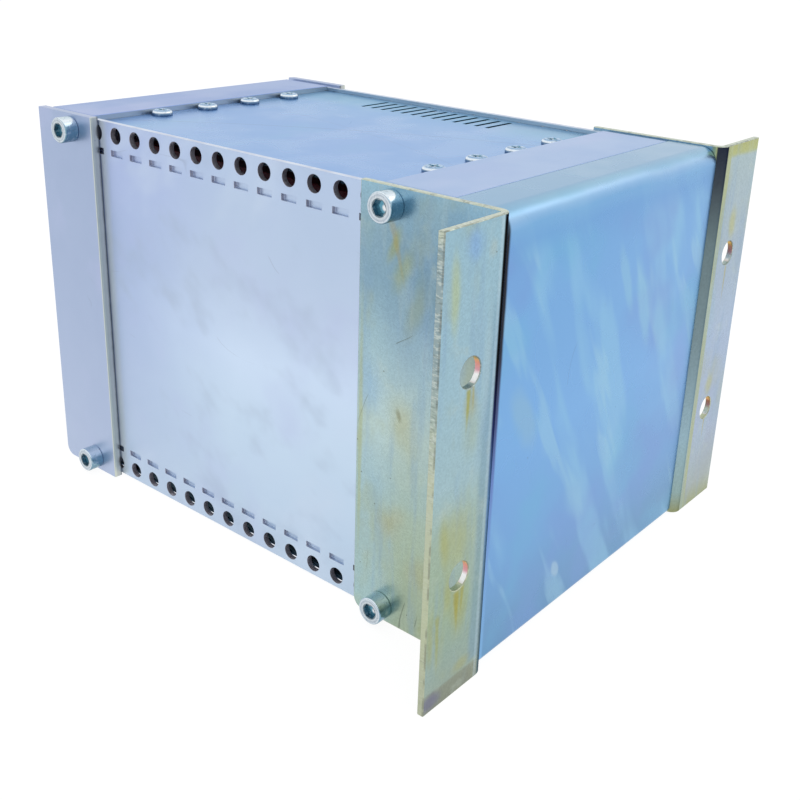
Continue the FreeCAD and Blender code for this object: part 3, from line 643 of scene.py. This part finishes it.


# face: by distance from the middle; the others: by which way the surface looks. Both are painted reflection, with
# painted highlights and shade
screwSizes = {
    "face": [(0.0, (120, 134, 142)), (0.00245, (112, 126, 134)), (0.00268, (206, 214, 220)), (0.0031, (190, 200, 208)),
             (0.0034, (172, 184, 196)), (0.0037, (210, 220, 228)), (0.00425, (170, 186, 198))],
    "head": [(-1.0, (92, 122, 140)), (-0.6, (112, 146, 164)), (-0.1, (120, 158, 178)), (0.35, (132, 166, 186)),
             (0.6, (214, 230, 240)), (0.8, (236, 244, 250)), (1.0, (190, 210, 222))],
    "socket": [(-1.0, (50, 84, 100)), (0.0, (70, 112, 132)), (0.3, (130, 170, 184)), (0.45, (250, 252, 253)),
               (1.0, (254, 254, 254))],
    "cover": [(-1.0, (110, 140, 160)), (0.0, (92, 120, 150)), (0.3, (112, 142, 172)), (0.5, (236, 242, 248)),
              (0.75, (214, 230, 244)), (0.92, (112, 152, 192)), (1.0, (150, 188, 222))],
    "columns": (-0.06094, 0.07906), "rows": (0.0051, 0.1269), "end face": (0.75, 0.95),
    "floor": (96, 160, 184), "glint": (250, 252, 253), "glint size": (0.0005, 0.0012, 1, 0), "glint aside": 0.001,
    "clouds": [{"size": 0.0012, "shift": (0.2, 0.3, 0.1), "low": 0.5, "high": 0.7, "colour": (226, 234, 240),
                "amount": 0.35},
               {"size": 0.0008, "shift": (0.7, 0.3, 0.6), "low": 0.55, "high": 0.7, "colour": (90, 110, 122),
                "amount": 0.35}],
    "shift": (0.35, 0.8, 0.5), "roughness": 0.2, "metallic": 1.0, "scratch": 0.3, "scratch colour": (90, 104, 116),
    "pits": 0.2, "grain": 0.00001}


def nearestOf(tree, value, middle, pair):
    return add(tree, "MapRange", {0: calc(tree, "GREATER_THAN", value, middle), 3: pair[0], 4: pair[1]}).outputs[0]


def farFrom(tree, across, above):
    return calc(tree, "SQRT", plus(tree, times(tree, across, across), times(tree, above, above)))


def makeScrewFinish(name, part, sizes):
    material, tree, place, (x, y, z) = startMaterial(name, sizes)
    facing = add(tree, "SeparateXYZ", {0: add(tree, "TexCoord").outputs["Normal"]}).outputs
    colour = blend(tree, facing[2], sizes[part])
    # the end face of a cap screw gets rings of painted shade and highlight
    if part != "cover":  # the end face of a cap screw is coloured in rings
        across = minus(tree, y, nearestOf(tree, y, 0.0, sizes["columns"]))
        above = minus(tree, z, nearestOf(tree, z, chassisSizes["middle"], sizes["rows"]))
        # painted highlights on every second side of the hexagon and a painted glint on the floor of the socket
        if part == "socket":  # every second side of the hexagon is bright
            turned = calc(tree, "COSINE", times(tree, calc(tree, "ARCTAN2", facing[2], facing[1]), 3.0))
            colour = blend(tree, times(tree, turned, -1.0), sizes[part])
            spot = farFrom(tree, plus(tree, across, sizes["glint aside"]), above)
            glint = fade(tree, spot, *sizes["glint size"])
            plain = mixColours(tree, glint, paint(*sizes["floor"]), paint(*sizes["glint"]))
        else:
            plain = blend(tree, farFrom(tree, across, above), sizes["face"])
        colour = mixColours(tree, fade(tree, calc(tree, "ABSOLUTE", facing[0]), *sizes["end face"]), colour, plain)
    colour = addClouds(tree, place, colour, sizes["clouds"])
    return endMetal(material, place, colour, sizes)


plateFinish = makePlateFinish(plateSizes)
stripFinish = makeStripFinish(stripSizes)
railFinish = makeRailFinish(railSizes)
coverFinish = makeCoverFinish(coverSizes)
frontFinish = makeFrontFinish(frontSizes)
bracketFinish = makeBracketFinish("bracketZinc", bracketSizes)
# the bends also get a dark edge tint, a painted dark reflection
bendReflectionFinish = makeBracketFinish("bracketBendReflection", bracketSizes | {"edge tint": (0.15, 0.17, 0.24, 1)})
edgeFinish = makeEdgeFinish(edgeSizes)
holeFinish = makeHoleFinish(holeSizes)
capReflectionFinish = makeScrewFinish("capScrewSteelReflection", "head", screwSizes)
socketReflectionFinish = makeScrewFinish("socketSteelReflection", "socket", screwSizes | {"metallic": 0.6})
coverScrewReflectionFinish = makeScrewFinish("coverScrewSteelReflection", "cover", screwSizes)
# a painted highlight for the rims and edges of the plates
rimHighlightFinish = makePlain("rimHighlight", {
    "first": (196, 206, 226), "second": (212, 222, 238), "patch": 0.006, "shift": (0.25, 0.35, 0.5), "roughness": 0.3,
    "metallic": 0.9, "scratch": 0.3, "scratch colour": (150, 160, 178), "pits": 0.1, "grain": 0.00001})
# painted shade for the walls of holes and slots
wallShadeFinish = makePlain("slotWallShade", {
    "first": (168, 166, 178), "second": (188, 186, 198), "patch": 0.004, "shift": (0.75, 0.35, 0.5), "roughness": 0.45,
    "metallic": 0.8, "scratch": 0.3, "scratch colour": (110, 108, 116), "pits": 0.1, "grain": 0.00001})
guideFinish = makePlain("guideRed", {
    "first": (108, 16, 30), "second": (124, 26, 38), "patch": 0.01, "shift": (0.15, 0.1, 0.7), "roughness": 0.5,
    "metallic": 0.0, "scratch": 0.2, "scratch colour": (140, 70, 66), "pits": 0.1, "grain": 0.00001})
print("finishes made")


dressSizes = {"merge": 2e-6, "level": 0.99996, "border": 1.4, "steps": 2, "angle": math.radians(30)}


# gathers the faces that lie side by side in one plane
def flatGroups(work):
    groups, taken = [], set()
    for first in work.faces:
        if first in taken:
            continue
        taken.add(first)
        groups.append([first])
        for face in groups[-1]:  # the group grows while it is walked
            for beside in [other for edge in face.edges for other in edge.link_faces]:
                if beside not in taken and beside.normal.dot(first.normal) > dressSizes["level"]:
                    taken.add(beside)
                    groups[-1].append(beside)
    return groups


def addPiece(node, work, materials):
    mesh = bpy.data.meshes.new("finished_" + node)
    work.to_mesh(mesh)
    work.free()
    for material in materials:
        mesh.materials.append(material)
    piece = bpy.data.objects.new("finished_" + node, mesh)
    scene.collection.objects.link(piece)
    return piece


def finishPiece(piece, node, keepSharp):
    even = piece.modifiers.new("evenShading", "WEIGHTED_NORMAL")
    even.mode = "FACE_AREA_WITH_ANGLE"
    even.keep_sharp = keepSharp
    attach(piece, "root")
    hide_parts(node)


# copies a part's mesh, rounds its edges and gives each face its finish
def dress(node, materials, width, sort=None, edgeMaterial=-1):
    work = bmesh.new()
    work.from_mesh(nodes[node].data)
    bmesh.ops.remove_doubles(work, verts=work.verts, dist=dressSizes["merge"])
    for group in flatGroups(work):
        if len(group) == 2:
            bmesh.ops.dissolve_faces(work, faces=group)
        elif len(group) > 2:  # a border of even faces takes the rounded edge
            bmesh.ops.inset_region(work, faces=group, thickness=width * dressSizes["border"],
                                   use_even_offset=True, use_boundary=True)
    for face in work.faces:
        face.smooth = True
        face.material_index = sort(face) if sort else 0
    piece = addPiece(node, work, materials)
    rounded = piece.modifiers.new("roundedEdges", "BEVEL")
    rounded.width = width
    rounded.segments = dressSizes["steps"]
    rounded.limit_method = "ANGLE"
    rounded.angle_limit = dressSizes["angle"]
    rounded.use_clamp_overlap = False
    rounded.loop_slide = False
    rounded.material = edgeMaterial
    finishPiece(piece, node, False)


gridSizes = {"holes": (0.1269, 0.0051), "slots": (0.1209, 0.0111), "hole radius": 0.00266, "slot rise": 0.0012,
             "first": -0.067, "last": 0.082}


def inRow(centre, row, reach):
    inside = min(abs(centre.z - level) for level in gridSizes[row]) < reach
    return inside and gridSizes["first"] < centre.y < gridSizes["last"]


# 0 face of the plate, 1 rim with a painted highlight, 2 wall of a hole or slot with painted shade
def sortPlate(face):
    centre, normal = face.calc_center_median(), face.normal
    if abs(normal.x) > 0.9:
        return 0
    if inRow(centre, "slots", gridSizes["slot rise"]):
        return 2 if normal.y < -0.9 else (1 if normal.z > 0.9 else 0)
    return 2 if inRow(centre, "holes", gridSizes["hole radius"]) else 1


bracketEnds = {"ear": 0.084, "web": -0.053, "bend width": 0.0613, "bend front": -0.0942, "hole radius": 0.0043}


# 0 face of the bracket, 1 cut edge, 2 wall of an ear hole, 3 outside of the bend, with a painted dark reflection
def sortBracket(face):
    centre, normal = face.calc_center_median(), face.normal
    if (abs(normal.z) > 0.9 or abs(normal.x) > 0.9 and abs(centre.x) > bracketEnds["ear"]
            or abs(normal.y) > 0.9 and centre.y > bracketEnds["web"]):
        return 1
    if abs(centre.x) < bracketEnds["bend width"] and centre.y < bracketEnds["bend front"] and normal.y < 0:
        return 3
    out = abs(centre.x) - chassisSizes["ear hole out"]
    above = abs(centre.z - chassisSizes["middle"]) - chassisSizes["ear hole rise"]
    return 2 if math.hypot(out, above) < bracketEnds["hole radius"] and abs(normal.y) < 0.5 else 0


for side in ("left", "right"):
    dress("side_plate_" + side, [plateFinish, rimHighlightFinish, wallShadeFinish], 0.00018, sortPlate)
    dress("mounting_bracket_" + side, [bracketFinish, edgeFinish, holeFinish, bendReflectionFinish], 0.00025,
          sortBracket, 1)
    dress("rear_strip_" + side, [stripFinish], 0.0002)
for end in ("front", "rear"):
    for level in ("top", "bottom"):
        dress(f"rail_{end}_{level}", [railFinish], 0.0002)
for cover in ("top_cover", "bottom_cover"):
    dress(cover, [coverFinish], 0.0001)
dress("front_cover", [frontFinish], 0.0002)
print("sheet pieces dressed")


def spinProfile(work, profile, steps):
    corners = [work.verts.new((radius, 0, height)) for radius, height in profile]
    lines = [work.edges.new(pair) for pair in zip(corners, corners[1:])]
    bmesh.ops.spin(work, geom=corners + lines, axis=(0, 0, 1), cent=(0, 0, 0), angle=math.tau, steps=steps,
                   use_merge=True)


def openLoop(work, radius, height):
    return [edge for edge in work.edges if edge.is_boundary and all(
        abs(v.co.z - height) < 1e-6 and abs(v.co.xy.length - radius) < 1e-6 for v in edge.verts)]


def looseEdges(work):
    return [edge for edge in work.edges if not edge.link_faces]


# joins the outline to the open circle and sinks it, with a shallow cone for a floor
def cutRecess(work, outline, circle, depth, taper):
    bmesh.ops.bridge_loops(work, edges=outline + circle)
    deeper = bmesh.ops.extrude_edge_only(work, edges=outline)["geom"]
    walls = [item for item in deeper if isinstance(item, bmesh.types.BMFace)]
    lower = [item for item in deeper if isinstance(item, bmesh.types.BMVert)]
    lowerEdges = [item for item in deeper if isinstance(item, bmesh.types.BMEdge) and item.is_boundary]
    bmesh.ops.translate(work, verts=lower, vec=(0, 0, -depth))
    bmesh.ops.scale(work, verts=lower, vec=(taper, taper, 1))
    floor = bmesh.ops.edgeloop_fill(work, edges=lowerEdges)["faces"]
    for face in walls + bmesh.ops.poke(work, faces=floor, offset=-depth * 0.15)["faces"]:
        face.material_index = 1


capScrewSizes = {"axis": 0, "head": 0.00425, "height": 0.005, "shank": 0.0025, "tip": 0.0004, "lip": 0.0002,
                 "rim": 0.0005, "flats": 0.0042, "sink": 0.00008, "recess": 0.0014, "taper": 1.0, "cuts": 7,
                 "steps": 48}


def ringCrown(s):
    angles = [step * math.pi / 10 for step in range(6)]
    rim = [(s["head"] - s["rim"] * (1 - math.cos(angle)), -s["rim"] * (1 - math.sin(angle))) for angle in angles]
    return rim + [(s["flats"] * 0.6, 0), (s["flats"] * 0.585, -s["sink"] / 2)]


def drawHexagon(work, s):
    bmesh.ops.create_circle(work, segments=6, radius=s["flats"] / math.sqrt(3),
                            matrix=Matrix.Translation((0, 0, -s["sink"])))


coverScrewSizes = {"axis": 2, "head": 0.0036, "height": 0.0018, "shank": 0.0015, "tip": 0.0003, "lip": 0.0001,
                   "arm": 0.00045, "reach": 0.0019, "sink": 0.00008, "recess": 0.0012, "taper": 0.7, "cuts": 3,
                   "steps": 48}


def domeCrown(s):
    angles = [step * math.pi / 12 for step in range(7)]
    return [(s["head"] * (0.6 + 0.4 * math.cos(angle)), -s["height"] * 0.75 * (1 - math.sin(angle)))
            for angle in angles]


def drawCross(work, s):
    arm, reach = s["arm"], s["reach"]
    corners = []
    for quarter in range(4):
        turn = Matrix.Rotation(quarter * math.pi / 2, 4, "Z")
        for point in ((reach, -arm), (reach, arm), (arm, arm)):
            corners.append(work.verts.new(turn @ Vector((*point, -s["sink"]))))
    for pair in zip(corners, corners[1:] + corners[:1]):
        work.edges.new(pair)


# a turned screw with its tip at the origin, moved to the end of the part that faces out
def makeScrew(node, s, crown, drawOutline, finish):
    low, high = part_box(node)
    centre, axis = (low + high) / 2, s["axis"]
    out = 1 if centre[axis] > (0, 0, chassisSizes["middle"])[axis] else -1
    end, outward = centre.copy(), Vector()
    end[axis] = (high if out > 0 else low)[axis]
    outward[axis] = out
    length = high[axis] - low[axis]
    profile = [(0.0001, -length), (s["shank"] - s["tip"], -length), (s["shank"], s["tip"] - length),
               (s["shank"], -s["height"]), (s["head"] - s["lip"], -s["height"]), (s["head"], s["lip"] - s["height"])]
    profile += crown(s)
    work = bmesh.new()
    spinProfile(work, profile, s["steps"])
    circle = openLoop(work, *profile[-1])
    drawOutline(work, s)
    bmesh.ops.subdivide_edges(work, edges=looseEdges(work), cuts=s["cuts"])
    cutRecess(work, looseEdges(work), circle, s["recess"], s["taper"])
    bmesh.ops.remove_doubles(work, verts=work.verts, dist=1e-7)
    bmesh.ops.recalc_face_normals(work, faces=work.faces)
    turn = Vector((0, 0, 1)).rotation_difference(outward).to_matrix().to_4x4()
    bmesh.ops.transform(work, matrix=Matrix.Translation(end) @ turn, verts=work.verts)
    for face in work.faces:
        face.smooth = True
    piece = addPiece(node, work, [finish, socketReflectionFinish])
    piece.data.set_sharp_from_angle(angle=math.radians(30))
    finishPiece(piece, node, True)


for node in sorted(nodes):
    if node.startswith("cap_screw"):
        makeScrew(node, capScrewSizes, ringCrown, drawHexagon, capReflectionFinish)
    elif node.startswith("cover_screw"):
        makeScrew(node, coverScrewSizes, domeCrown, drawCross, coverScrewReflectionFinish)
    elif node.startswith("card_guide"):
        dress(node, [guideFinish], 0.00015)
print("screws and guides made")


stageSizes = {"floor": 24.0, "sink": 0.0002, "matt": (0.86, 0.86, 0.87, 1), "glow": 1.1, "glow share": 0.85,
              "ambient": 0.8}


def seenByEye(tree):
    path = add(tree, "LightPath").outputs
    mirrored = calc(tree, "MAXIMUM", path["Is Glossy Ray"], path["Is Transmission Ray"])
    return calc(tree, "MAXIMUM", path["Is Camera Ray"], mirrored)


def setFloor():
    work = bmesh.new()
    bmesh.ops.create_grid(work, x_segments=1, y_segments=1, size=stageSizes["floor"] / 2)
    bmesh.ops.translate(work, verts=work.verts, vec=(0, 0, -stageSizes["sink"]))
    mesh = bpy.data.meshes.new("floor")
    work.to_mesh(mesh)
    work.free()
    floor = bpy.data.objects.new("floor", mesh)
    scene.collection.objects.link(floor)
    material = bpy.data.materials.new("paleFloor")
    material.use_nodes = True
    tree = material.node_tree
    tree.nodes.remove(tree.nodes["Principled BSDF"])
    matt = add(tree, "BsdfDiffuse", {"Color": stageSizes["matt"]}).outputs[0]
    glow = add(tree, "Emission", {"Color": (1, 1, 1, 1), "Strength": stageSizes["glow"]}).outputs[0]
    share = times(tree, seenByEye(tree), stageSizes["glow share"])
    both = add(tree, "MixShader", {0: share, 1: matt, 2: glow}).outputs[0]
    tree.links.new(both, tree.nodes["Material Output"].inputs["Surface"])
    mesh.materials.append(material)


def setWorld():
    world = bpy.data.worlds.new("studio")
    scene.world = world
    world.use_nodes = True
    tree = world.node_tree
    background = tree.nodes["Background"]
    background.inputs["Color"].default_value = (1, 1, 1, 1)
    tree.links.new(fade(tree, seenByEye(tree), 0, 1, stageSizes["ambient"], 1.0), background.inputs["Strength"])


lampSizes = {
    "key": {"place": (0.9, -0.7, 1.1), "size": 0.8, "power": 1.2},
    "fill": {"place": (-1.2, -0.9, 1.0), "size": 1.2, "power": 0.4},
    "aim": (0, 0, 0.06)}


def setLamp(name):
    sizes = lampSizes[name]
    data = bpy.data.lights.new(name, "AREA")
    data.shape = "DISK"
    data.size = sizes["size"]
    data.energy = sizes["power"]
    lamp = bpy.data.objects.new(name, data)
    lamp.location = sizes["place"]
    aim = Vector(lampSizes["aim"]) - Vector(sizes["place"])
    lamp.rotation_euler = aim.to_track_quat("-Z", "Y").to_euler()
    scene.collection.objects.link(lamp)


setFloor()
setWorld()
setLamp("key")
setLamp("fill")
scene.view_settings.view_transform = "Standard"
print("stage and lamps set")
